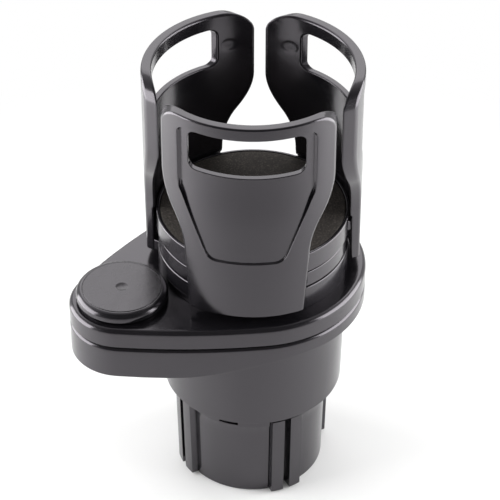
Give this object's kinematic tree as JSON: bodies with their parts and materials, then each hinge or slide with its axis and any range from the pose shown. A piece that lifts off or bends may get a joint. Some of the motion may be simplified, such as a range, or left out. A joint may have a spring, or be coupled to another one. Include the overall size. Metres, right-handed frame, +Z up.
{
  "type": "car cup holder",
  "caption": "Two-level cup holder for a car: expanding barrel base, lower cup, swinging tray with a padded drum and sprung gripping arms.",
  "frame": {"origin": "centre of the base plate's underside, on the barrel's axis", "axes": "+Z up along the barrel; the knob and the trays' narrow end lie towards -X; the part is symmetric about the XZ plane"},
  "size_m": [0.1415, 0.104, 0.2195],
  "materials": {
    "black_plastic": "satin black moulded plastic, fine spark texture",
    "cover_plastic": "matt dark grey disc with a fine grain",
    "inner_plastic": "plain dark grey plastic",
    "pale_plastic": "milky sliding plastic",
    "foam": "brown-black closed-cell foam with a speckled skin",
    "steel": "zinc-plated steel"
  },
  "bodies": {
    "base": {"lower_cup": "black_plastic", "lower_pad": "foam", "slip_washer": "pale_plastic", "base_barrel": "black_plastic", "base_plate": "black_plastic", "base_screws": "steel"},
    "dial": {"dial": "black_plastic", "cam_disc": "inner_plastic", "dial_screw": "steel"},
    "fin_1": {"fin_1": "black_plastic"},
    "fin_2": {"fin_2": "black_plastic"},
    "fin_3": {"fin_3": "black_plastic"},
    "fin_4": {"fin_4": "black_plastic"},
    "swing": {"upper_tray": "black_plastic", "drum_base": "black_plastic", "drum_middle": "black_plastic", "drum_cap": "black_plastic", "drum_lid": "black_plastic", "drum_screws": "steel", "cap_screws": "steel", "upper_pad": "foam", "arm_spring_1": "steel", "arm_spring_2": "steel", "arm_spring_3": "steel"},
    "arm_1": {"arm_1": "black_plastic"},
    "arm_2": {"arm_2": "black_plastic"},
    "arm_3": {"arm_3": "black_plastic"},
    "knob": {"knob": "black_plastic", "knob_cover": "cover_plastic", "pivot_washer": "steel", "pivot_spring": "steel", "pivot_screw": "steel"}
  },
  "joints": [
    {"name": "tray_swing", "type": "hinge", "parent": "base", "child": "swing", "pos_m": [-0.0655, 0, 0.105], "axis": [0, 0, 1], "continuous": true},
    {"name": "knob_turn", "type": "hinge", "parent": "base", "child": "knob", "pos_m": [-0.0655, 0, 0.11], "axis": [0, 0, 1], "range_deg": [0, 180]},
    {"name": "dial_turn", "type": "hinge", "parent": "base", "child": "dial", "pos_m": [0, 0, 0.05], "axis": [0, 0, 1], "range_deg": [0, 80]},
    {"name": "fin_1_slide", "type": "slide", "parent": "base", "child": "fin_1", "axis": [1, 0, 0], "range_m": [0, 0.007]},
    {"name": "fin_2_slide", "type": "slide", "parent": "base", "child": "fin_2", "axis": [0, 1, 0], "range_m": [0, 0.007]},
    {"name": "fin_3_slide", "type": "slide", "parent": "base", "child": "fin_3", "axis": [-1, 0, 0], "range_m": [0, 0.007]},
    {"name": "fin_4_slide", "type": "slide", "parent": "base", "child": "fin_4", "axis": [0, -1, 0], "range_m": [0, 0.007]},
    {"name": "arm_1_slide", "type": "slide", "parent": "swing", "child": "arm_1", "axis": [1, 0, 0], "range_m": [0, 0.01], "stiffness_N_per_m": 150, "springref_m": -0.012, "deforming": ["arm_spring_1"]},
    {"name": "arm_2_slide", "type": "slide", "parent": "swing", "child": "arm_2", "axis": [-0.5, 0.866, 0], "range_m": [0, 0.01], "stiffness_N_per_m": 150, "springref_m": -0.012, "deforming": ["arm_spring_2"]},
    {"name": "arm_3_slide", "type": "slide", "parent": "swing", "child": "arm_3", "axis": [-0.5, -0.866, 0], "range_m": [0, 0.01], "stiffness_N_per_m": 150, "springref_m": -0.012, "deforming": ["arm_spring_3"]}
  ],
  "couplings": [
    {"joint": "fin_1_slide", "follows": "dial_turn", "m_per_rad": 0.005013},
    {"joint": "fin_2_slide", "follows": "dial_turn", "m_per_rad": 0.005013},
    {"joint": "fin_3_slide", "follows": "dial_turn", "m_per_rad": 0.005013},
    {"joint": "fin_4_slide", "follows": "dial_turn", "m_per_rad": 0.005013}
  ]
}
